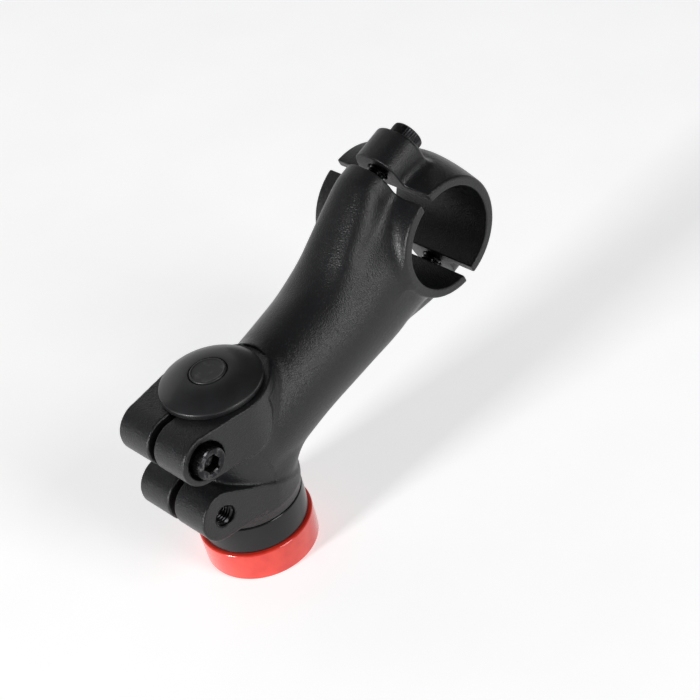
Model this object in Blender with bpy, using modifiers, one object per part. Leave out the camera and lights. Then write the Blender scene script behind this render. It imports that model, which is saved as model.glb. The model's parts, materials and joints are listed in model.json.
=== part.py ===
"""Threadless bicycle handlebar stem with its two piece bar clamp, pinch bolts, top cap and spacers.

Frame: the origin is on the steerer axis at the underside of the spacer stack. +Z runs up the
steerer, -Y points forward to the handlebar and -X is the rider's right. Lengths are in metres.
"""
import math

import bmesh
import bpy
from mathutils import Matrix, Vector

MM = 0.001
GAP = 0.25 * MM                     # air between pieces that touch

# Steerer and spacer stack
STEERER_BORE_R = 14.3 * MM          # 28.6 mm steerer tube
SPACER_PITCH = 10.1 * MM            # one spacer and the joint above it
RED_SPACER_R = 17.6 * MM
BLACK_SPACER_R = 16.6 * MM
SPACER_EDGE = 0.5 * MM

# Steerer clamp
CLAMP_BOTTOM = 2 * SPACER_PITCH
CLAMP_TOP = 62.4 * MM
CLAMP_MIDDLE = 0.5 * (CLAMP_BOTTOM + CLAMP_TOP)
BAND_R = 17.0 * MM                  # the two bands that end in the lugs
NECK_R = 16.2 * MM                  # the thinner wall between the bands
FOOT_R = 15.9 * MM
FOOT_RISE = 3.4 * MM
SLIT_WIDTH = 2.6 * MM

# Pinch lugs: half round ends about the two bolt axes, which run along X
LUG_R = 8.0 * MM
LUG_HALF_WIDTH = 14.4 * MM
LUG_Y = 17.7 * MM
UPPER_LUG_Z = CLAMP_TOP - LUG_R
LOWER_LUG_Z = 32.5 * MM
UPPER_BAND_FRONT_Y = -7.0 * MM
UPPER_BAND_CORNER_R = 10.0 * MM
LOWER_BAND_FRONT_Y = -16.0 * MM
LOWER_BAND_UNDERSIDE = 24.0 * MM

# Extension and bar clamp
STEM_LENGTH = 85.4 * MM
RISE = math.radians(17.65)
BAR_BORE_R = 15.95 * MM             # 31.8 mm handlebar
BAR_CLAMP_R = 18.9 * MM
BAR_CLAMP_HALF_WIDTH = 19.2 * MM
BODY_FACE = -2.5 * MM               # forward of the bar axis is positive
PLATE_FACE = 1.0 * MM
FACE_ALLOWANCE = 1.0 * MM           # metal that the flat cut of a parting face takes off
LUG_ALLOWANCE = 0.6 * MM
PLATE_BOW = 3.2 * MM                # how far the middle of the faceplate stands forward
PLATE_BOW_POWER = 1.6

# Bar clamp lugs and the seats of their bolts
BAR_BOLT_OFFSET = 21.6 * MM         # above and below the bar axis
BAR_LUG_TOP = 28.2 * MM
BAR_LUG_CROWN = 8.2 * MM            # height of the rounded top above the straight sides
BAR_LUG_FOOT = 14.0 * MM
BAR_LUG_HALF_WIDTH = 8.7 * MM
BAR_LUG_CREST = -9.0 * MM           # behind this the body's lugs slope down to the extension
BAR_LUG_BACK = -27.0 * MM
BAR_LUG_BACK_HEIGHT = 19.5 * MM
BAR_LUG_FRONT = 12.5 * MM
BAR_SEAT = 9.5 * MM
BAR_HOLE_DEPTH = 8.5 * MM

# M6 hardware
THREAD_R = 3.0 * MM
HOLE_R = THREAD_R + 0.35 * MM
HEAD_R = 5.0 * MM
HEAD_HEIGHT = 6.0 * MM
SOCKET_R = 2.5 * MM / math.cos(math.pi / 6)
SOCKET_DEPTH = 3.2 * MM
BOLT_CHAMFER = 0.5 * MM
WASHER_R = 5.6 * MM
WASHER_THICKNESS = 0.8 * MM
COUNTERBORE_R = 5.95 * MM
PINCH_SEAT = 10.3 * MM              # from the middle of the stem
PINCH_BOLT_LENGTH = 20.0 * MM
BAR_BOLT_LENGTH = 20.0 * MM
PRELOAD_BOLT_LENGTH = 30.0 * MM

# Top cap and star nut
CAP_R = 15.25 * MM
CAP_RIM_TOP = 64.4 * MM
CAP_CROWN = 67.3 * MM
CAP_BOSS_R = 12.0 * MM
CAP_SEAT = 58.2 * MM
CAP_FLOOR = 2.0 * MM
CAP_WELL_R = 5.6 * MM
PLUG_R = 5.3 * MM
PLUG_TOP = 67.7 * MM
PLUG_HEIGHT = 3.0 * MM
STAR_HUB_R = 5.2 * MM
STAR_HUB_TOP = 47.0 * MM
STAR_HUB_HEIGHT = 13.0 * MM
STAR_R = 12.6 * MM
STAR_NOTCH_R = 8.4 * MM
STAR_FINGERS = 8
STAR_THICKNESS = 0.8 * MM
STAR_LEAF_TOPS = {"upper": 45.0 * MM, "lower": 37.5 * MM}

ROUND_STEPS = 56
BOLT_STEPS = 24
ARC_STEPS = 12

# Mesh space with the outline's x along Y, its y along Z and its thickness along X
SIDE_VIEW = Matrix(((0, 0, 1, 0), (1, 0, 0, 0), (0, 1, 0, 0), (0, 0, 0, 1)))
# Mesh space with the outline's x along X, its y along Z and its thickness along Y
FRONT_VIEW = Matrix(((1, 0, 0, 0), (0, 0, -1, 0), (0, 1, 0, 0), (0, 0, 0, 1)))
TOP_VIEW = Matrix.Identity(4)

BAR_AXIS_Y = -STEM_LENGTH * math.cos(RISE)
BAR_AXIS_Z = CLAMP_MIDDLE + STEM_LENGTH * math.sin(RISE)


def clear_scene():
    """Remove every object that the file starts with."""
    for item in list(bpy.data.objects):
        bpy.data.objects.remove(item, do_unlink=True)


def new_collection(name):
    """Make a collection under the scene's own."""
    collection = bpy.data.collections.new(name)
    bpy.context.scene.collection.children.link(collection)
    return collection


def new_frame(name, place):
    """Make an empty that carries the pieces of one sub-assembly."""
    frame = bpy.data.objects.new(name, None)
    frame.matrix_world = place
    parts.objects.link(frame)
    return frame


def add_object(name, mesh, frame):
    """Put a mesh into the scene as a helper solid, carried by a frame."""
    item = bpy.data.objects.new(name, mesh)
    item.parent = frame
    cutters.objects.link(item)
    item.hide_render = True
    item.display_type = "WIRE"
    return item


def finish_part(item, name, material):
    """Turn a helper solid into a part of the stem."""
    item.name = name
    cutters.objects.unlink(item)
    parts.objects.link(item)
    item.hide_render = False
    item.display_type = "TEXTURED"
    item.data.materials.append(material)
    return item


def new_material(name, colour, roughness, metallic):
    """Make a plain Principled material."""
    material = bpy.data.materials.new(name)
    material.use_nodes = True
    shader = material.node_tree.nodes["Principled BSDF"]
    shader.inputs["Base Color"].default_value = (*colour, 1.0)
    shader.inputs["Roughness"].default_value = roughness
    shader.inputs["Metallic"].default_value = metallic
    return material


def arc(centre, radius, start, end, steps=ARC_STEPS):
    """Points on an arc, from one angle to another in degrees."""
    points = []
    for i in range(steps + 1):
        angle = math.radians(start + (end - start) * i / steps)
        points.append((centre[0] + radius * math.cos(angle), centre[1] + radius * math.sin(angle)))
    return points


def prism(name, outlines, thickness, view, frame=None, middle=0.0):
    """Extrude closed flat outlines both ways from a plane at a distance along its normal."""
    curve = bpy.data.curves.new(name, "CURVE")
    curve.dimensions = "2D"
    curve.fill_mode = "BOTH"
    curve.extrude = thickness / 2
    for outline in outlines:
        spline = curve.splines.new("POLY")
        spline.points.add(len(outline) - 1)
        for point, (x, y) in zip(spline.points, outline):
            point.co = (x, y, 0.0, 1.0)
        spline.use_cyclic_u = True
    guide = bpy.data.objects.new(name + "_outline", curve)
    cutters.objects.link(guide)
    graph = bpy.context.evaluated_depsgraph_get()
    mesh = bpy.data.meshes.new_from_object(guide.evaluated_get(graph))
    bpy.data.objects.remove(guide)
    shape = bmesh.new()
    shape.from_mesh(mesh)
    bmesh.ops.remove_doubles(shape, verts=shape.verts, dist=0.001 * MM)
    bmesh.ops.recalc_face_normals(shape, faces=shape.faces)
    shape.to_mesh(mesh)
    shape.free()
    mesh.transform(view @ Matrix.Translation((0, 0, middle)))
    return add_object(name, mesh, frame)


def turned(name, profile, steps, frame=None, closed=False):
    """Spin a profile of (radius, height) points about the frame's Z axis."""
    mesh = bpy.data.meshes.new(name)
    edges = [(i, i + 1) for i in range(len(profile) - 1)]
    if closed:
        edges.append((len(profile) - 1, 0))
    mesh.from_pydata([(radius, 0.0, height) for radius, height in profile], edges, [])
    item = add_object(name, mesh, frame)
    screw = item.modifiers.new("turned", "SCREW")
    screw.steps = steps
    screw.render_steps = steps
    screw.use_merge_vertices = True
    screw.merge_threshold = 0.001 * MM
    screw.use_smooth_shade = True
    return item


def rod(name, radius, start, end, steps, frame=None):
    """Make a cylinder between two points."""
    start, end = Vector(start), Vector(end)
    mesh = bpy.data.meshes.new(name)
    shape = bmesh.new()
    bmesh.ops.create_cone(
        shape, cap_ends=True, segments=steps, radius1=radius, radius2=radius,
        depth=(end - start).length,
    )
    shape.to_mesh(mesh)
    shape.free()
    aim = (end - start).to_track_quat("Z", "Y").to_matrix().to_4x4()
    mesh.transform(Matrix.Translation((start + end) / 2) @ aim)
    return add_object(name, mesh, frame)


def box(name, low, high, frame=None):
    """Make a box between two corners."""
    low, high = Vector(low), Vector(high)
    mesh = bpy.data.meshes.new(name)
    shape = bmesh.new()
    bmesh.ops.create_cube(shape, size=1.0)
    shape.to_mesh(mesh)
    shape.free()
    mesh.transform(Matrix.Translation((low + high) / 2) @ Matrix.Diagonal((*(high - low), 1.0)))
    return add_object(name, mesh, frame)


def combine(target, tool, operation):
    """Join a solid to another, cut it away or keep what they share."""
    step = target.modifiers.new(tool.name, "BOOLEAN")
    step.operation = operation
    step.solver = "EXACT"
    step.object = tool


def rounded_section(half_width, half_height, drop, squareness):
    """Points (x, height) of a superellipse, lowered by a drop."""
    points = []
    for i in range(ROUND_STEPS):
        angle = 2 * math.pi * i / ROUND_STEPS
        across, up = math.cos(angle), math.sin(angle)
        x = half_width * math.copysign(abs(across) ** (2 / squareness), across)
        z = half_height * math.copysign(abs(up) ** (2 / squareness), up)
        points.append((x, z - drop))
    return points


def loft(name, loops, frame):
    """Skin a row of closed loops of points into one solid."""
    shape = bmesh.new()
    rings = [[shape.verts.new(point) for point in loop] for loop in loops]
    for back, front in zip(rings, rings[1:]):
        for i in range(len(back)):
            j = (i + 1) % len(back)
            shape.faces.new((back[i], back[j], front[j], front[i]))
    shape.faces.new(rings[0])
    shape.faces.new(rings[-1])
    bmesh.ops.triangulate(shape, faces=shape.faces)
    bmesh.ops.recalc_face_normals(shape, faces=shape.faces)
    mesh = bpy.data.meshes.new(name)
    shape.to_mesh(mesh)
    shape.free()
    return add_object(name, mesh, frame)


def extension(frame):
    """Loft the oval tube that runs from the steerer clamp into the bar clamp."""
    # forward of the bar axis, half width, half height, drop of the middle, squareness
    stations = [
        (-84.0 * MM, 16.3 * MM, 16.8 * MM, 1.7 * MM, 2.0),
        (-60.0 * MM, 16.4 * MM, 16.8 * MM, 1.8 * MM, 2.0),
        (-45.0 * MM, 16.8 * MM, 17.2 * MM, 2.6 * MM, 2.0),
        (-30.0 * MM, 17.3 * MM, 17.7 * MM, 2.5 * MM, 2.2),
        (-15.0 * MM, 17.3 * MM, 17.8 * MM, 1.0 * MM, 2.6),
        (BODY_FACE - 0.2 * MM, 17.3 * MM, 17.8 * MM, 0.4 * MM, 3.0),
    ]
    between = 3
    rings = []
    for first, second in zip(stations, stations[1:]):
        for i in range(between):
            share = i / between
            rings.append([a + (b - a) * share for a, b in zip(first, second)])
    rings.append(stations[-1])
    loops = []
    for forward, *size in rings:
        loops.append([(x, -forward, z) for x, z in rounded_section(*size)])
    return loft("extension", loops, frame)


def plate_blank(frame):
    """Loft the front half of the bar clamp, which bows forward in the middle of its width."""
    slices = 12
    loops = []
    for i in range(slices + 1):
        share = 2 * i / slices - 1
        bow = PLATE_BOW * (1 - abs(share) ** PLATE_BOW_POWER)
        half_turn = math.degrees(math.acos((PLATE_FACE - FACE_ALLOWANCE - bow) / BAR_CLAMP_R))
        outline = arc((bow, 0), BAR_CLAMP_R, -half_turn, half_turn, ROUND_STEPS // 2)
        loops.append([(share * BAR_CLAMP_HALF_WIDTH, -forward, z) for forward, z in outline])
    return loft("plate_blank", loops, frame)


def clamp_plan():
    """Outline of the steerer clamp from above: a round front and flat sided lugs."""
    reach = math.hypot(LUG_HALF_WIDTH, LUG_Y)
    tangent = math.degrees(math.atan2(LUG_Y, LUG_HALF_WIDTH) - math.acos(BAND_R / reach))
    outline = arc((0, 0), BAND_R, 180 - tangent, 360 + tangent, ROUND_STEPS // 2)
    back = LUG_Y + LUG_R + MM
    outline += [(LUG_HALF_WIDTH, LUG_Y), (LUG_HALF_WIDTH, back)]
    outline += [(-LUG_HALF_WIDTH, back), (-LUG_HALF_WIDTH, LUG_Y)]
    return outline


def upper_band_outline():
    """Side outline of the upper band: flat top, half round lug, rounded lower front corner."""
    corner = (UPPER_BAND_FRONT_Y + UPPER_BAND_CORNER_R, CLAMP_TOP - 2 * LUG_R + UPPER_BAND_CORNER_R)
    outline = arc((LUG_Y, UPPER_LUG_Z), LUG_R, 90, -90)
    outline += arc(corner, UPPER_BAND_CORNER_R, 270, 180)
    outline.append((UPPER_BAND_FRONT_Y, CLAMP_TOP))
    return outline


def lower_band_outline():
    """Side outline of the lower band: it slopes down forward from its half round lug."""
    outline = arc((LUG_Y, LOWER_LUG_Z), LUG_R, 118, -90)
    outline.append((LUG_Y - LUG_R, LOWER_BAND_UNDERSIDE))
    outline.append((LOWER_BAND_FRONT_Y, LOWER_BAND_UNDERSIDE))
    return outline


def body_lug_profile():
    """Side outline of a lug of the body: level over the bolt, then sloping back to the extension."""
    return [
        (-BODY_FACE - LUG_ALLOWANCE, BAR_LUG_FOOT),
        (-BODY_FACE - LUG_ALLOWANCE, BAR_LUG_TOP),
        (-BAR_LUG_CREST, BAR_LUG_TOP),
        (-BAR_LUG_BACK, BAR_LUG_BACK_HEIGHT),
        (-BAR_LUG_BACK, BAR_LUG_FOOT),
    ]


def plate_lug_profile():
    """Side outline of a lug of the faceplate."""
    return [
        (-BAR_LUG_FRONT, BAR_LUG_FOOT),
        (-BAR_LUG_FRONT, BAR_LUG_TOP),
        (LUG_ALLOWANCE - PLATE_FACE, BAR_LUG_TOP),
        (LUG_ALLOWANCE - PLATE_FACE, BAR_LUG_FOOT),
    ]


def lug_outline():
    """Front outline of a bar clamp lug: straight sides under a half elliptical top."""
    outline = [(-BAR_LUG_HALF_WIDTH, BAR_LUG_FOOT), (BAR_LUG_HALF_WIDTH, BAR_LUG_FOOT)]
    shoulder = BAR_LUG_TOP - BAR_LUG_CROWN
    for across, up in arc((0, 0), 1.0, 0, 180, 2 * ARC_STEPS):
        outline.append((BAR_LUG_HALF_WIDTH * across, shoulder + BAR_LUG_CROWN * up))
    return outline


def bar_lug(name, profile, side, frame):
    """Make one rounded lug of the bar clamp, above (side 1) or below (side -1) the bar."""
    profile = [(y, side * z) for y, z in profile]
    outline = [(x, side * z) for x, z in lug_outline()]
    lug = prism(name, [profile], 2 * BAR_LUG_HALF_WIDTH + 2 * MM, SIDE_VIEW, frame)
    combine(lug, prism(name + "_outline", [outline], 80 * MM, FRONT_VIEW, frame), "INTERSECT")
    return lug


def clamp_back(frame):
    """Make the half round block behind the bar."""
    half_turn = math.degrees(math.acos((-BODY_FACE - FACE_ALLOWANCE) / BAR_CLAMP_R))
    outline = arc((0, 0), BAR_CLAMP_R, -half_turn, half_turn, ROUND_STEPS // 2)
    return prism("clamp_back", [outline], 2 * BAR_CLAMP_HALF_WIDTH, SIDE_VIEW, frame)


def parting_cut(name, front, back, bar_frame):
    """Cutter that leaves a flat parting face across the whole bar clamp."""
    half, reach = BAR_CLAMP_HALF_WIDTH + MM, BAR_LUG_TOP + MM
    return box(name, (-half, front, -reach), (half, back, reach), bar_frame)


def bolt(name, length, material, frame):
    """Make a socket head cap screw whose head stands on the frame's XY plane."""
    profile = [
        (0.0, HEAD_HEIGHT),
        (HEAD_R - BOLT_CHAMFER, HEAD_HEIGHT),
        (HEAD_R, HEAD_HEIGHT - BOLT_CHAMFER),
        (HEAD_R, 0.0),
        (THREAD_R, 0.0),
        (THREAD_R, BOLT_CHAMFER - length),
        (THREAD_R - BOLT_CHAMFER, -length),
        (0.0, -length),
    ]
    item = turned(name, profile, BOLT_STEPS, frame)
    top = HEAD_HEIGHT + MM
    socket = rod(name + "_socket", SOCKET_R, (0, 0, HEAD_HEIGHT - SOCKET_DEPTH), (0, 0, top), 6, frame)
    combine(item, socket, "DIFFERENCE")
    return finish_part(item, name, material)


def washer(name, material, frame):
    """Make a plain washer just under the frame's XY plane."""
    profile = [
        (WASHER_R, -GAP / 2),
        (WASHER_R, GAP / 2 - WASHER_THICKNESS),
        (HOLE_R, GAP / 2 - WASHER_THICKNESS),
        (HOLE_R, -GAP / 2),
    ]
    return finish_part(turned(name, profile, BOLT_STEPS, frame, closed=True), name, material)


def outward_frame(name, seat, direction):
    """Frame for a bolt and its washer: Z points out of the seat, the head stands on the washer."""
    turn = Vector(direction).to_track_quat("Z", "Y").to_matrix().to_4x4()
    lift = Matrix.Translation((0, 0, WASHER_THICKNESS + GAP / 2))
    return new_frame(name, Matrix.Translation(seat) @ turn @ lift)


def stem_body(material, bar_frame):
    """Build the forged body: steerer clamp, extension and the rear half of the bar clamp."""
    profile = [
        (0.0, CLAMP_TOP),
        (BAND_R - 0.6 * MM, CLAMP_TOP),
        (BAND_R, CLAMP_TOP - 0.6 * MM),
        (BAND_R, CLAMP_TOP - 3.0 * MM),
        (NECK_R, CLAMP_TOP - 4.0 * MM),
        (NECK_R, CLAMP_BOTTOM + FOOT_RISE),
        (FOOT_R, CLAMP_BOTTOM),
        (0.0, CLAMP_BOTTOM),
    ]
    body = turned("barrel", profile, ROUND_STEPS)
    height = CLAMP_TOP - CLAMP_BOTTOM
    for name, outline in (("upper_band", upper_band_outline()), ("lower_band", lower_band_outline())):
        band = prism(name, [outline], 2 * BAND_R + 2 * MM, SIDE_VIEW)
        plan = prism(name + "_plan", [clamp_plan()], height + 10 * MM, TOP_VIEW, middle=CLAMP_MIDDLE)
        combine(band, plan, "INTERSECT")
        combine(body, band, "UNION")
    combine(body, extension(bar_frame), "UNION")
    combine(body, clamp_back(bar_frame), "UNION")
    for name, side in (("upper", 1), ("lower", -1)):
        lug = bar_lug(f"body_{name}_lug", body_lug_profile(), side, bar_frame)
        combine(body, lug, "UNION")
    combine(body, parting_cut("body_face_cut", -BAR_LUG_FRONT, -BODY_FACE, bar_frame), "DIFFERENCE")

    low, high = CLAMP_BOTTOM - MM, CLAMP_TOP + 6 * MM
    bore = rod("steerer_bore", STEERER_BORE_R, (0, 0, low), (0, 0, high), ROUND_STEPS)
    combine(body, bore, "DIFFERENCE")
    back = LUG_Y + LUG_R + MM
    slit = box("slit", (-SLIT_WIDTH / 2, 0, low), (SLIT_WIDTH / 2, back, high))
    combine(body, slit, "DIFFERENCE")
    combine(body, bar_bore("body_bar_bore", bar_frame), "DIFFERENCE")
    for name, z, side in (("upper", UPPER_LUG_Z, -1), ("lower", LOWER_LUG_Z, 1)):
        outside = side * (LUG_HALF_WIDTH + MM)
        hole = rod(f"{name}_pinch_hole", HOLE_R, (-outside, LUG_Y, z), (outside, LUG_Y, z), BOLT_STEPS)
        seat = side * PINCH_SEAT
        well = rod(f"{name}_pinch_well", COUNTERBORE_R, (seat, LUG_Y, z), (outside, LUG_Y, z), BOLT_STEPS)
        combine(body, hole, "DIFFERENCE")
        combine(body, well, "DIFFERENCE")
    for side in (1, -1):
        z = side * BAR_BOLT_OFFSET
        start = (0, -BODY_FACE - MM, z)
        end = (0, -BODY_FACE + BAR_HOLE_DEPTH, z)
        hole = rod(f"body_bolt_hole_{side}", HOLE_R, start, end, BOLT_STEPS, bar_frame)
        combine(body, hole, "DIFFERENCE")
    return finish_part(body, "stem_body", material)


def bar_bore(name, bar_frame):
    """Cutter for the handlebar's bore, which runs along X."""
    half = BAR_CLAMP_HALF_WIDTH + MM
    return rod(name, BAR_BORE_R, (-half, 0, 0), (half, 0, 0), ROUND_STEPS, bar_frame)


def faceplate(material, bar_frame):
    """Build the front half of the bar clamp with its two lugs and bolt seats."""
    plate = plate_blank(bar_frame)
    for name, side in (("upper", 1), ("lower", -1)):
        lug = bar_lug(f"plate_{name}_lug", plate_lug_profile(), side, bar_frame)
        combine(plate, lug, "UNION")
    combine(plate, parting_cut("plate_face_cut", -PLATE_FACE, BAR_LUG_FRONT, bar_frame), "DIFFERENCE")
    combine(plate, bar_bore("plate_bar_bore", bar_frame), "DIFFERENCE")
    for side in (1, -1):
        z = side * BAR_BOLT_OFFSET
        seat = (0, -BAR_SEAT, z)
        outside = (0, -BAR_LUG_FRONT - 5 * MM, z)
        hole = rod(f"plate_bolt_hole_{side}", HOLE_R, (0, MM, z), outside, BOLT_STEPS, bar_frame)
        well = rod(f"plate_bolt_well_{side}", COUNTERBORE_R, seat, outside, BOLT_STEPS, bar_frame)
        combine(plate, hole, "DIFFERENCE")
        combine(plate, well, "DIFFERENCE")
    return finish_part(plate, "faceplate", material)


def spacer(name, outer, bottom, material):
    """Make one ring of the spacer stack with eased outer edges."""
    top = bottom + SPACER_PITCH - GAP
    profile = [
        (outer - SPACER_EDGE, top),
        (outer, top - SPACER_EDGE),
        (outer, bottom + SPACER_EDGE),
        (outer - SPACER_EDGE, bottom),
        (STEERER_BORE_R, bottom),
        (STEERER_BORE_R, top),
    ]
    return finish_part(turned(name, profile, ROUND_STEPS, closed=True), name, material)


def top_cap(material):
    """Turn the domed cap with its centring boss and the well for the bolt head."""
    under = CLAMP_TOP + GAP
    crown = CAP_CROWN - CAP_RIM_TOP
    profile = [(CAP_WELL_R, CAP_CROWN)]
    for i in range(1, 7):
        share = i / 6
        radius = CAP_WELL_R + (CAP_R - CAP_WELL_R) * share
        profile.append((radius, CAP_RIM_TOP + crown * (1 - share ** 2)))
    profile += [
        (CAP_R, under),
        (CAP_BOSS_R, under),
        (CAP_BOSS_R - 0.5 * MM, CAP_SEAT - CAP_FLOOR),
        (HOLE_R, CAP_SEAT - CAP_FLOOR),
        (HOLE_R, CAP_SEAT),
        (CAP_WELL_R, CAP_SEAT),
    ]
    return finish_part(turned("top_cap", profile, ROUND_STEPS, closed=True), "top_cap", material)


def top_cap_plug(material):
    """Turn the small cover that closes the well of the top cap."""
    profile = [
        (0.0, PLUG_TOP),
        (PLUG_R - 0.4 * MM, PLUG_TOP - 0.15 * MM),
        (PLUG_R, PLUG_TOP - 0.5 * MM),
        (PLUG_R, PLUG_TOP - PLUG_HEIGHT),
        (0.0, PLUG_TOP - PLUG_HEIGHT),
    ]
    return finish_part(turned("top_cap_plug", profile, BOLT_STEPS), "top_cap_plug", material)


def star_nut(material):
    """Build the threaded hub and the two toothed leaves that grip inside the steerer."""
    bottom = STAR_HUB_TOP - STAR_HUB_HEIGHT
    profile = [(STAR_HUB_R, STAR_HUB_TOP), (STAR_HUB_R, bottom), (HOLE_R, bottom), (HOLE_R, STAR_HUB_TOP)]
    finish_part(turned("hub", profile, BOLT_STEPS, closed=True), "star_nut_hub", material)
    outline = []
    for i in range(STAR_FINGERS):
        pitch = 360 / STAR_FINGERS
        outline += arc((0, 0), STAR_R, (i - 0.32) * pitch, (i + 0.32) * pitch, 3)
        outline += arc((0, 0), STAR_NOTCH_R, (i + 0.42) * pitch, (i + 0.58) * pitch, 1)
    opening = arc((0, 0), STAR_HUB_R + GAP, 360, 360 / BOLT_STEPS, BOLT_STEPS - 1)
    for name, top in STAR_LEAF_TOPS.items():
        middle = top - STAR_THICKNESS / 2
        leaf = prism(f"{name}_leaf", [outline, opening], STAR_THICKNESS, TOP_VIEW, middle=middle)
        finish_part(leaf, f"star_nut_{name}_leaf", material)


def build():
    """Build every part of the stem."""
    satin_black = new_material("satin_black", (0.02, 0.02, 0.022), 0.45, 0.0)
    anodised_black = new_material("anodised_black", (0.015, 0.015, 0.017), 0.25, 0.6)
    gloss_black = new_material("gloss_black", (0.018, 0.018, 0.02), 0.22, 0.0)
    plug_grey = new_material("plug_grey", (0.05, 0.05, 0.052), 0.4, 0.0)
    gloss_red = new_material("gloss_red", (0.75, 0.05, 0.03), 0.2, 0.0)
    black_oxide = new_material("black_oxide", (0.03, 0.03, 0.033), 0.3, 0.9)
    zinc = new_material("zinc", (0.6, 0.6, 0.62), 0.35, 1.0)

    bar_place = Matrix.Translation((0, BAR_AXIS_Y, BAR_AXIS_Z)) @ Matrix.Rotation(-RISE, 4, "X")
    bar_frame = new_frame("bar_clamp_frame", bar_place)
    stem_body(satin_black, bar_frame)
    faceplate(satin_black, bar_frame)

    forward = bar_place.to_3x3() @ Vector((0, -1, 0))
    for name, side in (("upper", 1), ("lower", -1)):
        seat = bar_place @ Vector((0, -BAR_SEAT, side * BAR_BOLT_OFFSET))
        frame = outward_frame(f"faceplate_bolt_{name}_frame", seat, forward)
        bolt(f"faceplate_bolt_{name}", BAR_BOLT_LENGTH, black_oxide, frame)
        washer(f"faceplate_washer_{name}", black_oxide, frame)
    for name, z, side in (("upper", UPPER_LUG_Z, -1), ("lower", LOWER_LUG_Z, 1)):
        seat = Vector((side * PINCH_SEAT, LUG_Y, z))
        frame = outward_frame(f"pinch_bolt_{name}_frame", seat, (side, 0, 0))
        bolt(f"pinch_bolt_{name}", PINCH_BOLT_LENGTH, black_oxide, frame)
        washer(f"pinch_washer_{name}", black_oxide, frame)

    spacer("spacer_red", RED_SPACER_R, 0.0, gloss_red)
    spacer("spacer_black", BLACK_SPACER_R, SPACER_PITCH, anodised_black)
    top_cap(gloss_black)
    top_cap_plug(plug_grey)
    preload_frame = new_frame("preload_bolt_frame", Matrix.Translation((0, 0, CAP_SEAT + GAP)))
    bolt("preload_bolt", PRELOAD_BOLT_LENGTH, black_oxide, preload_frame)
    star_nut(zinc)


clear_scene()
parts = new_collection("handlebar_stem")
cutters = new_collection("cutters")
build()
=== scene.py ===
"""Finished look of a bicycle handlebar stem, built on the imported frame.

The forged body and the faceplate are skins drawn over distance fields, because their webs, fillets
and counterbores flow into one another and no sweep or lathe has that shape. Every other piece is a
surface of two parameters: a profile carried round an axis. Lengths are in millimetres inside the
classes and become metres where a mesh is made.
"""

from __future__ import annotations

import json
import logging
import math
from collections.abc import Callable
from dataclasses import dataclass
from enum import Enum
from itertools import product

import bpy
import numpy as np
from mathutils import Matrix, Vector

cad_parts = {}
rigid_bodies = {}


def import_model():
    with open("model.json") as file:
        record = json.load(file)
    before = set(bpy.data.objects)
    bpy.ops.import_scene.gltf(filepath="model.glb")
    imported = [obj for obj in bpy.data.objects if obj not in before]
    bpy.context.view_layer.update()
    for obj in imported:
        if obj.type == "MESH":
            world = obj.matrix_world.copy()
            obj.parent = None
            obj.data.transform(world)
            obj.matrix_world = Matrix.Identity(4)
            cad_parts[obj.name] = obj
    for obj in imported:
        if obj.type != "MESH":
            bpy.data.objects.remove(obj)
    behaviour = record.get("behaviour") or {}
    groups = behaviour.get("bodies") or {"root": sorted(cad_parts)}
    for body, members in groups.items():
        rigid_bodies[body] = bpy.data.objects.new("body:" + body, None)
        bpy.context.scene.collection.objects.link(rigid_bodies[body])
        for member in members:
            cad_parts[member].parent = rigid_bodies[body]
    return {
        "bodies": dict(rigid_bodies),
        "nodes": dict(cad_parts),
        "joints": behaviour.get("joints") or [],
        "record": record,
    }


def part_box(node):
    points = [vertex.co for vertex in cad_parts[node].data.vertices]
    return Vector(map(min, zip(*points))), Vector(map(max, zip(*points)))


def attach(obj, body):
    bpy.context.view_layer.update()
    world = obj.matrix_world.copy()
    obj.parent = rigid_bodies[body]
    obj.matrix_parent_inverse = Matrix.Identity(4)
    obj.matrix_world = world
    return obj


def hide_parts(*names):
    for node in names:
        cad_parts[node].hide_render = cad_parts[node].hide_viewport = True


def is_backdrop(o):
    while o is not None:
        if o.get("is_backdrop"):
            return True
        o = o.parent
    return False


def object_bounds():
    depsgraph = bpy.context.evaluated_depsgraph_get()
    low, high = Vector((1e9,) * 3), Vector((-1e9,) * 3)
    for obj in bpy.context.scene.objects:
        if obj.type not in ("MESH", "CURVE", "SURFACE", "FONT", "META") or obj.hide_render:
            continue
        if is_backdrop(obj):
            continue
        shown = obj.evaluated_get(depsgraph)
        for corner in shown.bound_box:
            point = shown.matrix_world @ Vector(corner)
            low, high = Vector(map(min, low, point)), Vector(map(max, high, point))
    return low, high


MM = 0.001
LOG = logging.getLogger("stem")
Grid = np.ndarray
Field = Callable[[Grid, Grid, Grid], Grid]


# ---------------------------------------------------------------- distances


def smooth_step(value: Grid, start: float, end: float) -> Grid:
    """Rise from 0 to 1 between start and end as 3t^2 - 2t^3."""
    t = np.clip((value - start) / (end - start), 0.0, 1.0)
    return t * t * (3.0 - 2.0 * t)


def blend(a: Grid, b: Grid, reach: Grid | float) -> Grid:
    """Union of two solids whose meeting line is filled in over a reach.

    The smaller distance is lowered by h^2 * reach / 4, where h falls from 1 to 0 as the two
    distances draw apart by the reach.

    Args:
        a: Distance to the first solid, negative inside.
        b: Distance to the second solid.
        reach: How far from the meeting line the fillet starts.

    Returns:
        Distance to the filleted union.
    """
    h = np.maximum(reach - np.abs(a - b), 0.0) / reach
    return np.minimum(a, b) - h * h * reach / 4.0


def cut(a: Grid, b: Grid, radius: float) -> Grid:
    """Intersection of two solids with its edge rounded to a radius.

    Inside the corner the distance is min(-radius, max(a, b)) plus the length of the vector
    (radius + a, radius + b) with its negative parts dropped.

    Args:
        a: Distance to the first solid.
        b: Distance to the second solid.
        radius: Radius of the rounded edge.

    Returns:
        Distance to the rounded intersection.
    """
    corner = np.hypot(np.maximum(radius + a, 0.0), np.maximum(radius + b, 0.0))
    return np.minimum(-radius, np.maximum(a, b)) + corner


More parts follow.
